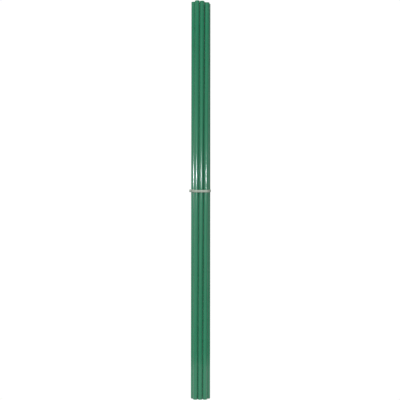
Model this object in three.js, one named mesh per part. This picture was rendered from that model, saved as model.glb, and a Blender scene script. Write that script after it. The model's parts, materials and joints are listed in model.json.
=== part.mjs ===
// A bundle of green fibreglass plant stakes, held together by an elastic band wound round it twice.
// Millimetres, +Z up along the stakes. The origin is on the bundle's axis, on the ground under the feet.
// The bundle's front faces -Y. Angles round the bundle start there and grow towards +X.
import * as THREE from 'three';

// A stake is a plain round rod, cut square, with the edges of both ends broken.
const stakeDiameter = 7.2;
const stakeLength = 610;
const endChamfer = 0.5;
const stakeSides = 32;
const stakeColour = 0x307c59;
const stakeRoughness = 0.2;

// The stakes lie in rows of three, four and three, from front to back. Each place is counted in stake
// pitches to the right and in rows to the back, with how much shorter that stake was cut and how far its
// foot and its top stray to the right.
const outerPlaces = [
  { right: -1, row: -1, shortfall: 0, footStray: 0, topStray: -0.5 },
  { right: 0, row: -1, shortfall: 0.6, footStray: 0, topStray: -0.45 },
  { right: 1, row: -1, shortfall: 2.9, footStray: 0, topStray: 0.1 },
  { right: 1.5, row: 0, shortfall: 3.2, footStray: 0.35, topStray: 0.1 },
  { right: 1, row: 1, shortfall: 1, footStray: 0, topStray: 0 },
  { right: 0, row: 1, shortfall: 1.8, footStray: 0, topStray: 0 },
  { right: -1, row: 1, shortfall: 0.6, footStray: 0, topStray: 0 },
  { right: -1.5, row: 0, shortfall: 0.4, footStray: -0.35, topStray: -0.1 },
];
const innerPlaces = [
  { right: -0.5, row: 0, shortfall: 1.2, footStray: 0, topStray: 0 },
  { right: 0.5, row: 0, shortfall: 0.4, footStray: 0, topStray: 0 },
];

// Apart from the strays, the middle row stands upright. The front row leans to the right and the back row to
// the left, so that they ride up a little on the middle row. The shifts are the front row's, to the right.
const stakeClearance = 0.1;
const rowShiftAtFoot = -0.6;
const rowShiftAtTop = 2.2;

// The elastic band is one closed loop of flat strand, in two turns that lie one above the other.
const bandHeight = 319.4;
const bandTiltDegrees = 4;
const bandClearance = 0.15;
const strandWidth = 1.6;
const strandThickness = 0.8;
const strandCorner = 0.2;
const strandGap = 0.45;
const bandColour = 0xb2b0a0;
const bandRoughness = 0.45;

// The two turns change places at the left. One strand passes flat, the other over it, on its edge.
const crossingLength = 7;
const crossingRamp = 5;
const stepsPerHalfBend = 2;
const stepsPerStraight = 4;

const stakeRadius = stakeDiameter / 2;
const stakePitch = stakeDiameter + stakeClearance;
const up = new THREE.Vector3(0, 0, 1);

function directionAt(angle) {
  return new THREE.Vector2(Math.sin(angle), -Math.cos(angle));
}

// How far an outer row lies from the middle row when it is shifted from the grooves between its stakes.
function rowDepthAt(shift) {
  return Math.sqrt(stakePitch ** 2 - (stakePitch / 2 - Math.abs(shift)) ** 2);
}

// Where a stake is at some height above the ground.
function centreAt({ right, row, footStray, topStray }, height) {
  const share = height / stakeLength;
  const shift = THREE.MathUtils.lerp(rowShiftAtFoot, rowShiftAtTop, share);
  const stray = THREE.MathUtils.lerp(footStray, topStray, share);
  const depth = THREE.MathUtils.lerp(rowDepthAt(rowShiftAtFoot), rowDepthAt(rowShiftAtTop), share);
  return new THREE.Vector2(right * stakePitch - row * shift + stray, row * depth);
}

// A stake is straight, and leans with its row and its stray.
function makeStake(name, place) {
  const length = stakeLength - place.shortfall;
  const endRadius = stakeRadius - endChamfer;
  const profile = [
    new THREE.Vector2(0, 0),
    new THREE.Vector2(endRadius, 0),
    new THREE.Vector2(stakeRadius, endChamfer),
    new THREE.Vector2(stakeRadius, length - endChamfer),
    new THREE.Vector2(endRadius, length),
    new THREE.Vector2(0, length),
  ];
  const geometry = new THREE.LatheGeometry(profile, stakeSides);
  geometry.rotateX(Math.PI / 2);
  const material = new THREE.MeshStandardMaterial({
    color: stakeColour,
    roughness: stakeRoughness,
    metalness: 0,
  });
  const stake = new THREE.Mesh(geometry, material);
  stake.name = name;
  const foot = centreAt(place, 0);
  const top = centreAt(place, stakeLength);
  const lean = new THREE.Vector3(top.x - foot.x, top.y - foot.y, stakeLength).normalize();
  stake.quaternion.setFromUnitVectors(up, lean);
  // The lowest point of the foot's rim touches the ground.
  const footHeight = endRadius * Math.hypot(lean.x, lean.y);
  stake.position.set(foot.x, foot.y, 0);
  stake.position.addScaledVector(lean, footHeight / lean.z);
  return stake;
}

// One turn of the band round the six corner stakes, from the middle of the last one's bend. It runs
// straight past the middle stakes of the outer rows. Gives points on the band's inner face, with the
// way out from the bundle and the distance travelled.
function traceTurn() {
  const reach = stakeRadius + bandClearance;
  const stations = [];
  const addStation = (centre, angle) => {
    const outward = directionAt(angle);
    stations.push({ outward, point: centre.clone().addScaledVector(outward, reach) });
  };
  const cornerPlaces = outerPlaces.filter(({ right }) => right !== 0);
  const corners = cornerPlaces.map((place) => centreAt(place, bandHeight));
  const runAngles = corners.map((corner, index) => corner.clone().sub(corners.at(index - 1)).angle());
  const halfBends = runAngles.map((runAngle, index) => {
    const turned = runAngle - runAngles.at(index - 1);
    return THREE.MathUtils.euclideanModulo(turned, 2 * Math.PI) / 2;
  });
  corners.forEach((next, index) => {
    const last = corners.at(index - 1);
    const runAngle = runAngles[index];
    const bendBefore = halfBends[index];
    const bendAfter = halfBends[(index + 1) % corners.length];
    for (let step = 0; step < stepsPerHalfBend; step += 1) {
      addStation(last, runAngle - bendBefore + (bendBefore * step) / stepsPerHalfBend);
    }
    for (let step = 0; step < stepsPerStraight; step += 1) {
      addStation(last.clone().lerp(next, step / stepsPerStraight), runAngle);
    }
    for (let step = 0; step < stepsPerHalfBend; step += 1) {
      addStation(next, runAngle + (bendAfter * step) / stepsPerHalfBend);
    }
  });
  let travelled = 0;
  stations.forEach((station, index) => {
    station.travelled = travelled;
    travelled += station.point.distanceTo(stations[(index + 1) % stations.length].point);
  });
  return { stations, length: travelled };
}

// The strand's section, as points across its width and out from the bundle.
function strandSection() {
  const across = strandWidth / 2;
  const out = strandThickness / 2;
  return [
    [across - strandCorner, -out],
    [across, strandCorner - out],
    [across, out - strandCorner],
    [across - strandCorner, out],
    [strandCorner - across, out],
    [-across, out - strandCorner],
    [-across, strandCorner - out],
    [strandCorner - across, -out],
  ];
}

// The whole strand, as one ring of section points for each station of both turns.
function traceStrand() {
  const turn = traceTurn();
  const section = strandSection();
  const halfPitch = (strandWidth + strandGap) / 2;
  const fullLift = strandThickness / 2 + strandGap + strandWidth / 2;
  const tiltSlope = Math.tan(THREE.MathUtils.degToRad(bandTiltDegrees));
  const rings = [];
  for (const lower of [true, false]) {
    for (const { outward, point, travelled } of turn.stations) {
      const leaving = travelled < turn.length / 2;
      const fromCrossing = leaving ? travelled : turn.length - travelled;
      const changed = Math.min(fromCrossing / (crossingLength / 2), 1);
      const level = (lower ? -1 : 1) * halfPitch * Math.sin((Math.PI / 2) * changed);
      const rampStart = crossingLength / 2;
      const isOver = lower !== leaving;
      const settled = THREE.MathUtils.smoothstep(fromCrossing, rampStart, rampStart + crossingRamp);
      const over = isOver ? 1 - settled : 0;
      const roll = (over * Math.PI) / 2;
      const points = section.map(([across, out]) => {
        const rolledAcross = across * Math.cos(roll) - out * Math.sin(roll);
        const rolledOut = across * Math.sin(roll) + out * Math.cos(roll);
        const standOff = strandThickness / 2 + over * fullLift + rolledOut;
        const x = point.x + outward.x * standOff;
        const y = point.y + outward.y * standOff;
        return new THREE.Vector3(x, y, bandHeight + y * tiltSlope + level + rolledAcross);
      });
      rings.push({ points, travelled: travelled + (lower ? 0 : turn.length) });
    }
  }
  return { rings, length: 2 * turn.length };
}

// The least distance between points of the strand that aren't close together along it.
function leastGapToItself({ rings, length }) {
  const farAlong = crossingLength + crossingRamp;
  let least = Infinity;
  rings.forEach((one, index) => {
    for (const other of rings.slice(index + 1)) {
      const along = other.travelled - one.travelled;
      if (Math.min(along, length - along) > farAlong) {
        for (const point of one.points) {
          for (const otherPoint of other.points) {
            least = Math.min(least, point.distanceTo(otherPoint));
          }
        }
      }
    }
  });
  return least;
}

function makeBand(name) {
  const strand = traceStrand();
  const sides = strandSection().length;
  const positions = strand.rings.flatMap(({ points }) => points.flatMap((point) => point.toArray()));
  const triangles = [];
  strand.rings.forEach((unused, index) => {
    const here = index * sides;
    const next = ((index + 1) % strand.rings.length) * sides;
    for (let side = 0; side < sides; side += 1) {
      const other = (side + 1) % sides;
      triangles.push(here + side, here + other, next + other);
      triangles.push(here + side, next + other, next + side);
    }
  });
  const geometry = new THREE.BufferGeometry();
  geometry.setAttribute('position', new THREE.Float32BufferAttribute(positions, 3));
  geometry.setIndex(triangles);
  geometry.computeVertexNormals();
  const material = new THREE.MeshStandardMaterial({
    color: bandColour,
    roughness: bandRoughness,
    metalness: 0,
  });
  const band = new THREE.Mesh(geometry, material);
  band.name = name;
  console.log(`${name}: least gap to itself ${leastGapToItself(strand).toFixed(2)} mm`);
  return band;
}

const bundle = new THREE.Group();
outerPlaces.forEach((place, index) => bundle.add(makeStake(`outer_stake_${index + 1}`, place)));
innerPlaces.forEach((place, index) => bundle.add(makeStake(`inner_stake_${index + 1}`, place)));
bundle.add(makeBand('elastic_band'));

export default bundle;
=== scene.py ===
import json
import math
import random

import bmesh
import bpy
from mathutils import Matrix, Vector


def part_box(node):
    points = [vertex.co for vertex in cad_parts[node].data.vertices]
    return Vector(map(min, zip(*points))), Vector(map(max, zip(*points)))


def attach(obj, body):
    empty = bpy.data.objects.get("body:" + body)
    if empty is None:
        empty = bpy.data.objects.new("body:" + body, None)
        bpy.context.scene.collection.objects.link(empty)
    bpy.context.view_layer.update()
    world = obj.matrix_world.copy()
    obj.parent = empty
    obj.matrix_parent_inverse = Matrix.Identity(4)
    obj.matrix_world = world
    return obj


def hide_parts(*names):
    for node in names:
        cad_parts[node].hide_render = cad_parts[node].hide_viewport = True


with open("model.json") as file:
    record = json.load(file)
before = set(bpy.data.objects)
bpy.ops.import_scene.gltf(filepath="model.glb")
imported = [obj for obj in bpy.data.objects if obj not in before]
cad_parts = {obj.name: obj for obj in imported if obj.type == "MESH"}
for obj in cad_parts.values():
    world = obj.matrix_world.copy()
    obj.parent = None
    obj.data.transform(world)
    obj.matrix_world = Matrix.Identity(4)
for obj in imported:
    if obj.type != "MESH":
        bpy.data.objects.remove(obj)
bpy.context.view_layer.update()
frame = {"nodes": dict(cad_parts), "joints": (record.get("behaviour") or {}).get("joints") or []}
scene = bpy.context.scene
scene.view_settings.view_transform = "Standard"
print("frame loaded:", len(frame["nodes"]), "solids")


# camera, level with the middle of the bundle and straight in front of it
viewFinder = {
    "distance": 1.235,
    "height": 0.3051,
    "sideways": -0.00107,
    "lens": 72.22,
    "sensor": 36.0,
    "near": 0.01,
    "roll": -0.07,  # degrees
}


def placeCamera():
    camera = bpy.data.cameras.new("photoCamera")
    camera.lens = viewFinder["lens"]
    camera.sensor_width = viewFinder["sensor"]
    camera.clip_start = viewFinder["near"]
    holder = bpy.data.objects.new("photoCamera", camera)
    holder.location = (viewFinder["sideways"], -viewFinder["distance"], viewFinder["height"])
    holder.rotation_euler = (math.radians(90), math.radians(viewFinder["roll"]), 0)
    scene.collection.objects.link(holder)
    scene.camera = holder
    print("camera placed")


# small helpers for shader nodes
def freshMaterial(name):
    material = bpy.data.materials.new(name)
    material.use_nodes = True
    tree = material.node_tree
    return material, tree, tree.nodes["Principled BSDF"]


def addNode(tree, kind, values=None, **settings):
    node = tree.nodes.new(kind)
    for key, value in settings.items():
        setattr(node, key, value)
    for key, value in (values or {}).items():
        node.inputs[key].default_value = value
    return node


def stretchedNoise(tree, vector, scale, detail=2.0):
    mapping = addNode(tree, "ShaderNodeMapping", {"Scale": scale})
    noise = addNode(tree, "ShaderNodeTexNoise", {"Scale": 1.0, "Detail": detail})
    tree.links.new(vector, mapping.inputs["Vector"])
    tree.links.new(mapping.outputs["Vector"], noise.inputs["Vector"])
    return noise.outputs["Fac"]


def toneRamp(tree, factor, stops):
    ramp = addNode(tree, "ShaderNodeValToRGB")
    while len(ramp.color_ramp.elements) < len(stops):
        ramp.color_ramp.elements.new(0.5)
    for element, (position, colour) in zip(ramp.color_ramp.elements, stops):
        element.position = position
        element.color = (*colour, 1.0)
    tree.links.new(factor, ramp.inputs["Fac"])
    return ramp.outputs["Color"]


def spread(tree, factor, low, high):
    remap = addNode(tree, "ShaderNodeMapRange", {"To Min": low, "To Max": high})
    tree.links.new(factor, remap.inputs["Value"])
    return remap.outputs["Result"]


def mixColours(tree, factor, first, second, blend="MIX"):
    mix = addNode(tree, "ShaderNodeMix", data_type="RGBA", blend_type=blend)
    for name, value in (("Factor", factor), ("A", first), ("B", second)):
        socket = mix.inputs[name]
        if isinstance(value, bpy.types.NodeSocket):
            tree.links.new(value, socket)
        else:
            socket.default_value = value
    return mix.outputs["Result"]


def addBump(tree, shader, height, strength, distance):
    bump = addNode(tree, "ShaderNodeBump", {"Strength": strength, "Distance": distance})
    tree.links.new(height, bump.inputs["Height"])
    tree.links.new(bump.outputs["Normal"], shader.inputs["Normal"])


# green resin skin of a pultruded rod: fibre streaks run along it, under a smooth gloss and a
# faint film of dust
greenSkin = {
    "tones": (
        (0.3, (0.011, 0.149, 0.069)),
        (0.5, (0.016, 0.184, 0.087)),
        (0.72, (0.024, 0.2085, 0.106)),
    ),
    "streakScale": (1500.0, 1500.0, 9.0),
    "streakDetail": 3.0,
    "patchScale": (260.0, 260.0, 16.0),
    "patchShare": 0.35,
    "gloss": (0.11, 0.125),
    "ior": 1.5,
    "dust": 0.3,
    "dustRoughness": 0.3,
    "bump": (0.1, 0.000001),  # strength and depth
}


def makeGreenSkin():
    material, tree, shader = freshMaterial("greenSkin")
    grain = addNode(tree, "ShaderNodeAttribute", attribute_name="grain").outputs["Vector"]
    streaks = stretchedNoise(tree, grain, greenSkin["streakScale"], greenSkin["streakDetail"])
    patches = stretchedNoise(tree, grain, greenSkin["patchScale"])
    streakColour = toneRamp(tree, streaks, greenSkin["tones"])
    patchColour = toneRamp(tree, patches, greenSkin["tones"])
    colour = mixColours(tree, greenSkin["patchShare"], streakColour, patchColour)
    tree.links.new(colour, shader.inputs["Base Color"])
    tree.links.new(spread(tree, streaks, *greenSkin["gloss"]), shader.inputs["Roughness"])
    shader.inputs["IOR"].default_value = greenSkin["ior"]
    shader.inputs["Sheen Weight"].default_value = greenSkin["dust"]
    shader.inputs["Sheen Roughness"].default_value = greenSkin["dustRoughness"]
    addBump(tree, shader, streaks, *greenSkin["bump"])
    return material


# sawn end of a rod: pale glass fibre ends in green resin, with saw lines
sawnEnd = {
    "tones": ((0.42, (0.05, 0.2, 0.11)), (0.66, (0.3, 0.42, 0.31))),  # resin and fibre
    "fibreScale": (5200.0, 5200.0, 900.0),
    "sawLines": {"Scale": 900.0, "Distortion": 3.0, "Detail": 2.0},
    "sawShare": 0.35,
    "roughness": (0.5, 0.75),
    "bump": (0.5, 0.00005),
}


def makeSawnEnd():
    material, tree, shader = freshMaterial("sawnEnd")
    grain = addNode(tree, "ShaderNodeAttribute", attribute_name="grain").outputs["Vector"]
    fibres = stretchedNoise(tree, grain, sawnEnd["fibreScale"])
    saw = addNode(tree, "ShaderNodeTexWave", sawnEnd["sawLines"])
    tree.links.new(grain, saw.inputs["Vector"])
    colour = toneRamp(tree, fibres, sawnEnd["tones"])
    tree.links.new(colour, shader.inputs["Base Color"])
    tree.links.new(spread(tree, fibres, *sawnEnd["roughness"]), shader.inputs["Roughness"])
    height = mixColours(tree, sawnEnd["sawShare"], fibres, saw.outputs["Fac"])
    addBump(tree, shader, height, *sawnEnd["bump"])
    return material


# pale natural rubber, a little see-through and powdery
paleRubber = {
    "tones": (
        (0.3, (0.257, 0.323, 0.254)),
        (0.5, (0.326, 0.401, 0.319)),
        (0.74, (0.4, 0.48, 0.388)),
    ),
    "strandScale": (120.0, 120.0, 5200.0),
    "speckScale": (2200.0, 2200.0, 2200.0),
    "speckDetail": 3.0,
    "speckShare": 0.4,
    "roughness": (0.5, 0.66),
    "specular": 0.35,
    "underShare": 0.25,  # light that goes a little way under the surface
    "underRadius": (1.0, 0.9, 0.7),
    "underScale": 0.0008,
    "bumpShare": 0.5,
    "bump": (0.3, 0.00003),
}


def makePaleRubber():
    material, tree, shader = freshMaterial("paleRubber")
    place = addNode(tree, "ShaderNodeTexCoord").outputs["Object"]
    lines = stretchedNoise(tree, place, paleRubber["strandScale"])
    specks = stretchedNoise(tree, place, paleRubber["speckScale"], paleRubber["speckDetail"])
    lineColour = toneRamp(tree, lines, paleRubber["tones"])
    speckColour = toneRamp(tree, specks, paleRubber["tones"])
    colour = mixColours(tree, paleRubber["speckShare"], lineColour, speckColour)
    tree.links.new(colour, shader.inputs["Base Color"])
    tree.links.new(spread(tree, specks, *paleRubber["roughness"]), shader.inputs["Roughness"])
    shader.inputs["Specular IOR Level"].default_value = paleRubber["specular"]
    shader.inputs["Subsurface Weight"].default_value = paleRubber["underShare"]
    shader.inputs["Subsurface Radius"].default_value = paleRubber["underRadius"]
    shader.inputs["Subsurface Scale"].default_value = paleRubber["underScale"]
    height = mixColours(tree, paleRubber["bumpShare"], lines, specks)
    addBump(tree, shader, height, *paleRubber["bump"])
    return material


# stakes
stakeShape = {
    "sides": 96,
    "rimRound": 0.0005,
    "rimSteps": 4,
    "dieLines": 0.000006,  # lengthwise ridges left by the die
    "endRings": 5,
    "ringsReach": 0.85,  # share of the radius
    "sawDepth": 0.00004,
    "lengthCuts": 12,
    "grainShift": 1.3,
    "seed": 100,
}


def stakeLine(node):
    slide = next(joint for joint in frame["joints"] if joint["child"] == node)
    along = Vector(slide["axis"]).normalized()
    points = [vertex.co for vertex in frame["nodes"][node].data.vertices]
    middle = sum(points, Vector()) / len(points)
    reaches = [(point - middle).dot(along) for point in points]
    radius = max((point - middle).cross(along).length for point in points)
    return {
        "foot": middle + along * min(reaches),
        "along": along,
        "length": max(reaches) - min(reaches),
        "radius": radius,
    }


def endFaces(bm):
    upright = 0.99
    return [face for face in bm.faces if abs(face.normal.z) > upright]


def buildStake(node, number, skin, sawn):
    line = stakeLine(node)
    dice = random.Random(stakeShape["seed"] + number)
    bm = bmesh.new()
    bmesh.ops.create_circle(bm, cap_ends=True, segments=stakeShape["sides"], radius=line["radius"])
    grown = bmesh.ops.extrude_face_region(bm, geom=bm.faces[:])
    lifted = [part for part in grown["geom"] if isinstance(part, bmesh.types.BMVert)]
    bmesh.ops.translate(bm, verts=lifted, vec=(0, 0, line["length"]))
    bmesh.ops.recalc_face_normals(bm, faces=bm.faces[:])

    # ridges of the die, the same from end to end
    ridges = [dice.uniform(-1, 0) * stakeShape["dieLines"] for side in range(stakeShape["sides"])]
    for vertex in bm.verts:
        turn = math.atan2(vertex.co.y, vertex.co.x) / (2 * math.pi)
        ridge = ridges[round(turn * stakeShape["sides"]) % stakeShape["sides"]]
        vertex.co.xy *= 1 + ridge / line["radius"]

    # broken edges at both ends
    rims = [edge for face in endFaces(bm) for edge in face.edges]
    bmesh.ops.bevel(
        bm, geom=rims, affect="EDGES", offset=stakeShape["rimRound"],
        segments=stakeShape["rimSteps"], profile=0.5, material=-1,
    )
    longEdges = [edge for edge in bm.edges if edge.calc_length() > line["length"] / 2]
    bmesh.ops.subdivide_edges(bm, edges=longEdges, cuts=stakeShape["lengthCuts"])

    # sawn faces, a little uneven
    for face in endFaces(bm):
        ringGap = line["radius"] * stakeShape["ringsReach"] / (stakeShape["endRings"] + 1)
        for ring in range(stakeShape["endRings"]):
            inset = bmesh.ops.inset_region(bm, faces=[face], thickness=ringGap)
            for side in inset["faces"]:
                side.material_index = 1
        face.material_index = 1
        bmesh.ops.poke(bm, faces=[face])
    for vertex in bm.verts:
        if all(face.material_index == 1 for face in vertex.link_faces):
            outward = 1 if vertex.co.z > line["length"] / 2 else -1
            vertex.co.z += dice.uniform(-1, 0) * stakeShape["sawDepth"] * outward

    mesh = bpy.data.meshes.new("green_" + node)
    bm.to_mesh(mesh)
    bm.free()
    mesh.polygons.foreach_set("use_smooth", [True] * len(mesh.polygons))
    mesh.materials.append(skin)
    mesh.materials.append(sawn)

    # each rod has its own stretch of grain
    grain = mesh.attributes.new("grain", "FLOAT_VECTOR", "POINT")
    shift = Vector((0, 0, stakeShape["grainShift"] * number))
    for vertex in mesh.vertices:
        grain.data[vertex.index].vector = vertex.co + shift

    lean = Vector((0, 0, 1)).rotation_difference(line["along"]).to_matrix().to_4x4()
    mesh.transform(Matrix.Translation(line["foot"]) @ lean)
    stake = bpy.data.objects.new("green_" + node, mesh)
    scene.collection.objects.link(stake)
    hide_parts(node)
    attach(stake, node)
    return line


# elastic band, one loop wound twice round the stakes, crossing itself at the left
bandShape = {
    "strandWidth": 0.00172,
    "strandThickness": 0.0008,
    "turnPitch": 0.00186,
    "clearance": 0.00012,
    "tilt": 4.0,  # degrees, lower at the front
    "crossing": 0.004,
    "hold": 0.004,
    "ramp": 0.004,
    "lift": 0.0019,
    "parting": 0.5,  # how much further apart the strands lie there
    "roll": -8.0,  # degrees, of the strand that lies over the other
    "bendSteps": 16,
    "runSteps": 24,
    "cornerRound": 0.00022,
    "cornerSteps": 4,
    "uneven": 0.012,
    "seed": 7,
}


def smoothStep(value, low, high):
    share = min(max((value - low) / (high - low), 0.0), 1.0)
    return share * share * (3 - 2 * share)


def bandCorners(lines):
    # the six corner stakes of the bundle at the band's height, from the left one on
    leastTurn = 0.1
    low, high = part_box("elastic_band")
    height = (low.z + high.z) / 2
    places = []
    for line in lines:
        place = line["foot"] + line["along"] * ((height - line["foot"].z) / line["along"].z)
        places.append(Vector((place.x, place.y)))
    left = places.index(min(places, key=lambda place: place.x))
    places = places[left:] + places[:left]
    corners = []
    for index, place in enumerate(places):
        arriving = (place - places[index - 1]).normalized()
        leaving = (places[(index + 1) % len(places)] - place).normalized()
        if arriving.cross(leaving) > leastTurn:
            corners.append(place)
    return corners, height


def traceTurn(corners, radius):
    # once round the outside from the middle of the left stake's bend, as points and outward ways
    stations = []
    reach = radius + bandShape["clearance"] + bandShape["strandThickness"] / 2
    count = len(corners)
    runs = [corners[(index + 1) % count] - here for index, here in enumerate(corners)]
    angles = [math.atan2(run.y, run.x) for run in runs]
    turns = [angles[index] - angles[index - 1] for index in range(count)]
    halfBends = [(turn % (2 * math.pi)) / 2 for turn in turns]
    for index, here in enumerate(corners):
        there = corners[(index + 1) % count]
        angle = angles[index]
        stretches = (
            (bandShape["bendSteps"], here, here, angle - halfBends[index], angle),
            (bandShape["runSteps"], here, there, angle, angle),
            (bandShape["bendSteps"], there, there, angle, angle + halfBends[(index + 1) % count]),
        )
        for steps, fromPlace, toPlace, fromAngle, toAngle in stretches:
            for step in range(steps):
                share = step / steps
                turned = fromAngle + (toAngle - fromAngle) * share
                outward = Vector((math.sin(turned), -math.cos(turned)))
                stations.append((fromPlace.lerp(toPlace, share) + outward * reach, outward))
    return stations


def strandProfile():
    # rounded flat section, as a small closed curve
    width = bandShape["strandWidth"] / 2 - bandShape["cornerRound"]
    thick = bandShape["strandThickness"] / 2 - bandShape["cornerRound"]
    curve = bpy.data.curves.new("strandProfile", "CURVE")
    corners = []
    steps = bandShape["cornerSteps"]
    for quarter, (across, out) in enumerate(((1, 1), (-1, 1), (-1, -1), (1, -1))):
        for step in range(steps + 1):
            turned = math.radians(90 * (quarter + step / steps))
            x = out * thick + bandShape["cornerRound"] * math.sin(turned)
            y = across * width + bandShape["cornerRound"] * math.cos(turned)
            corners.append((x, y, 0, 1))
    spline = curve.splines.new("POLY")
    spline.points.add(len(corners) - 1)
    for point, corner in zip(spline.points, corners):
        point.co = corner
    spline.use_cyclic_u = True
    holder = bpy.data.objects.new("strandProfile", curve)
    scene.collection.objects.link(holder)
    return holder


def buildBand(lines, rubber):
    corners, height = bandCorners(lines)
    stations = traceTurn(corners, lines[0]["radius"])
    gaps = [(stations[i][0] - stations[i - 1][0]).length for i in range(len(stations))]
    turnLength = sum(gaps)
    slope = math.tan(math.radians(bandShape["tilt"]))
    rampEnd = bandShape["hold"] + bandShape["ramp"]
    places = []
    for lower in (True, False):
        travelled = -gaps[0]
        for (point, outward), gap in zip(stations, gaps):
            travelled += gap
            leaving = travelled < turnLength / 2
            fromCrossing = travelled if leaving else turnLength - travelled
            changed = min(fromCrossing / (bandShape["crossing"] / 2), 1.0)
            settled = smoothStep(fromCrossing, bandShape["hold"], rampEnd)
            over = 1 - settled if lower != leaving else 0.0
            apart = bandShape["turnPitch"] / 2 * (1 + bandShape["parting"] * over)
            level = apart * math.sin(math.pi / 2 * changed) * (-1 if lower else 1)
            flat = point + outward * (over * bandShape["lift"])
            roll = over * math.radians(bandShape["roll"])
            places.append(((flat.x, flat.y, height + flat.y * slope + level), roll))
    curve = bpy.data.curves.new("bandPath", "CURVE")
    curve.dimensions = "3D"
    curve.twist_mode = "Z_UP"
    curve.bevel_mode = "OBJECT"
    profile = strandProfile()
    curve.bevel_object = profile
    spline = curve.splines.new("POLY")
    spline.points.add(len(places) - 1)
    dice = random.Random(bandShape["seed"])
    uneven = bandShape["uneven"]
    for point, (place, roll) in zip(spline.points, places):
        point.co = (*place, 1)
        point.tilt = roll
        point.radius = 1 + dice.uniform(-uneven, uneven)
    spline.use_cyclic_u = True
    holder = bpy.data.objects.new("bandPath", curve)
    scene.collection.objects.link(holder)
    bpy.context.view_layer.update()
    swept = holder.evaluated_get(bpy.context.evaluated_depsgraph_get())
    mesh = bpy.data.meshes.new_from_object(swept)
    bpy.data.objects.remove(holder)
    bpy.data.objects.remove(profile)
    mesh.name = "wound_band"
    mesh.materials.clear()
    mesh.materials.append(rubber)
    mesh.polygons.foreach_set("use_smooth", [True] * len(mesh.polygons))
    band = bpy.data.objects.new("wound_band", mesh)
    scene.collection.objects.link(band)
    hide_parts("elastic_band")
    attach(band, "band")


# stage: a sheet of white paper that lies under the bundle and keeps a faint shadow, in a plain
# room with a white wall straight ahead
stageSet = {
    "front": 0.264,
    "back": 0.3,
    "wide": 0.5,
    "glow": 0.97,
    "shadowTint": (0.1, 0.1, 0.1, 1.0),
    "paper": (0.8, 0.8, 0.79, 1.0),
    "wallAhead": (0.0, 1.0, 0.0),
    "wallReach": (34.0, 23.0),  # degrees off, where the wall starts and where it is fully white
    "wallWhite": (1.02, 1.02, 1.02, 1.0),
    "brightSide": (-0.8, -0.6, 0.0),
    # greys from the far side to the bright one, and from below to above
    "room": ((0.0, 0.61), (0.45, 0.57), (0.8, 1.06), (1.0, 1.0)),
    "roomHeights": ((0.0, 0.7), (0.4, 0.4), (0.5, 1.0), (0.62, 0.25), (0.75, 0.85), (1.0, 1.0)),
}


def seenDirectly(tree):
    # what the camera sees, also in a gloss or through glass
    path = addNode(tree, "ShaderNodeLightPath")
    straight = addNode(tree, "ShaderNodeMath", operation="MAXIMUM")
    seen = addNode(tree, "ShaderNodeMath", operation="MAXIMUM")
    tree.links.new(path.outputs["Is Camera Ray"], straight.inputs[0])
    tree.links.new(path.outputs["Is Glossy Ray"], straight.inputs[1])
    tree.links.new(straight.outputs[0], seen.inputs[0])
    tree.links.new(path.outputs["Is Transmission Ray"], seen.inputs[1])
    return seen.outputs[0]


def makeWhitePaper():
    # white where it is seen, plain pale paper to the rest of the light
    material = bpy.data.materials.new("whitePaper")
    material.cycles.emission_sampling = "NONE"  # it is no lamp
    material.use_nodes = True
    tree = material.node_tree
    tree.nodes.clear()
    output = addNode(tree, "ShaderNodeOutputMaterial")
    glow = addNode(tree, "ShaderNodeEmission", {"Strength": stageSet["glow"]})
    shadow = addNode(tree, "ShaderNodeBsdfDiffuse", {"Color": stageSet["shadowTint"]})
    paper = addNode(tree, "ShaderNodeBsdfDiffuse", {"Color": stageSet["paper"]})
    white = addNode(tree, "ShaderNodeAddShader")
    choose = addNode(tree, "ShaderNodeMixShader")
    tree.links.new(glow.outputs[0], white.inputs[0])
    tree.links.new(shadow.outputs[0], white.inputs[1])
    tree.links.new(seenDirectly(tree), choose.inputs[0])
    tree.links.new(paper.outputs[0], choose.inputs[1])
    tree.links.new(white.outputs[0], choose.inputs[2])
    tree.links.new(choose.outputs[0], output.inputs["Surface"])
    return material


def layPaper():
    bm = bmesh.new()
    half = stageSet["wide"] / 2
    front, back = -stageSet["front"], stageSet["back"]
    corners = ((-half, front), (half, front), (half, back), (-half, back))
    bm.faces.new([bm.verts.new((x, y, 0)) for x, y in corners])
    mesh = bpy.data.meshes.new("paperSheet")
    bm.to_mesh(mesh)
    bm.free()
    mesh.materials.append(makeWhitePaper())
    sheet = bpy.data.objects.new("paperSheet", mesh)
    scene.collection.objects.link(sheet)


def greyStops(stops):
    return [(position, (grey, grey, grey)) for position, grey in stops]


def facing(tree, direction, way, low=-1.0, high=1.0):
    # how much a direction points one way, from 0 to 1
    towards = addNode(tree, "ShaderNodeVectorMath", {1: way}, operation="DOT_PRODUCT")
    tree.links.new(direction, towards.inputs[0])
    share = addNode(tree, "ShaderNodeMapRange", {"From Min": low, "From Max": high})
    tree.links.new(towards.outputs["Value"], share.inputs["Value"])
    return share.outputs["Result"]


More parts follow.
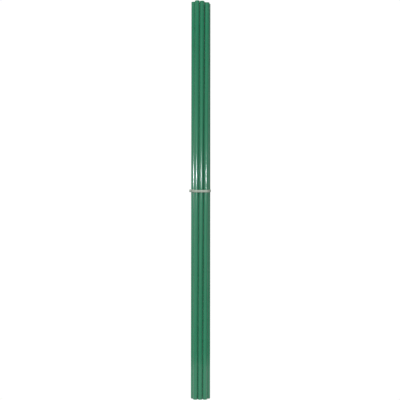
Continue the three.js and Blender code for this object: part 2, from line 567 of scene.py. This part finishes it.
def setStage():
    layPaper()
    world = bpy.data.worlds.new("dimRoom")
    scene.world = world
    world.use_nodes = True
    tree = world.node_tree
    direction = addNode(tree, "ShaderNodeTexCoord").outputs["Generated"]
    turn = facing(tree, direction, stageSet["brightSide"])
    rise = facing(tree, direction, (0.0, 0.0, 1.0))
    walls = toneRamp(tree, turn, greyStops(stageSet["room"]))
    shades = toneRamp(tree, rise, greyStops(stageSet["roomHeights"]))
    room = mixColours(tree, 1.0, walls, shades, "MULTIPLY")
    edge, full = (math.cos(math.radians(angle)) for angle in stageSet["wallReach"])
    ahead = facing(tree, direction, stageSet["wallAhead"], edge, full)
    wall = addNode(tree, "ShaderNodeMath", operation="MULTIPLY")
    tree.links.new(ahead, wall.inputs[0])
    tree.links.new(seenDirectly(tree), wall.inputs[1])
    light = mixColours(tree, wall.outputs[0], room, stageSet["wallWhite"])
    tree.links.new(light, tree.nodes["Background"].inputs["Color"])
    print("stage set")


# lamps: a flat strip over the camera gives the thin streaks, a large soft one hangs high behind
# the camera, a little to the left
lamps = {
    "overCamera": {
        "size": (0.4, 0.022), "power": 5.2, "tint": (1.0, 0.81, 0.96),
        "place": (-0.0012, -1.235, 0.381), "target": (0, 0, 0.34),
    },
    "leftSoft": {
        "size": (1.6, 1.6), "power": 66.0, "tint": (1.0, 1.0, 1.0),
        "place": (-0.8, -3.0, 3.2), "target": (0, 0, 0.1),
    },
}


def hangLamps():
    for name, lamp in lamps.items():
        light = bpy.data.lights.new(name, "AREA")
        light.shape = "ELLIPSE"
        light.size, light.size_y = lamp["size"]
        light.energy = lamp["power"]
        light.color = lamp["tint"]
        holder = bpy.data.objects.new(name, light)
        holder.location = lamp["place"]
        aim = Vector(lamp["target"]) - Vector(lamp["place"])
        holder.rotation_euler = aim.to_track_quat("-Z", "Y").to_euler()
        scene.collection.objects.link(holder)
    print("lamps hung")


placeCamera()
skinMaterial = makeGreenSkin()
sawnMaterial = makeSawnEnd()
outerNodes = sorted(name for name in frame["nodes"] if name.startswith("outer_stake"))
innerNodes = sorted(name for name in frame["nodes"] if name.startswith("inner_stake"))
stakeLines = [
    buildStake(node, number, skinMaterial, sawnMaterial)
    for number, node in enumerate(outerNodes + innerNodes)
]
print("stakes built:", len(stakeLines))
buildBand(stakeLines[:len(outerNodes)], makePaleRubber())
print("band wound")
setStage()
hangLamps()
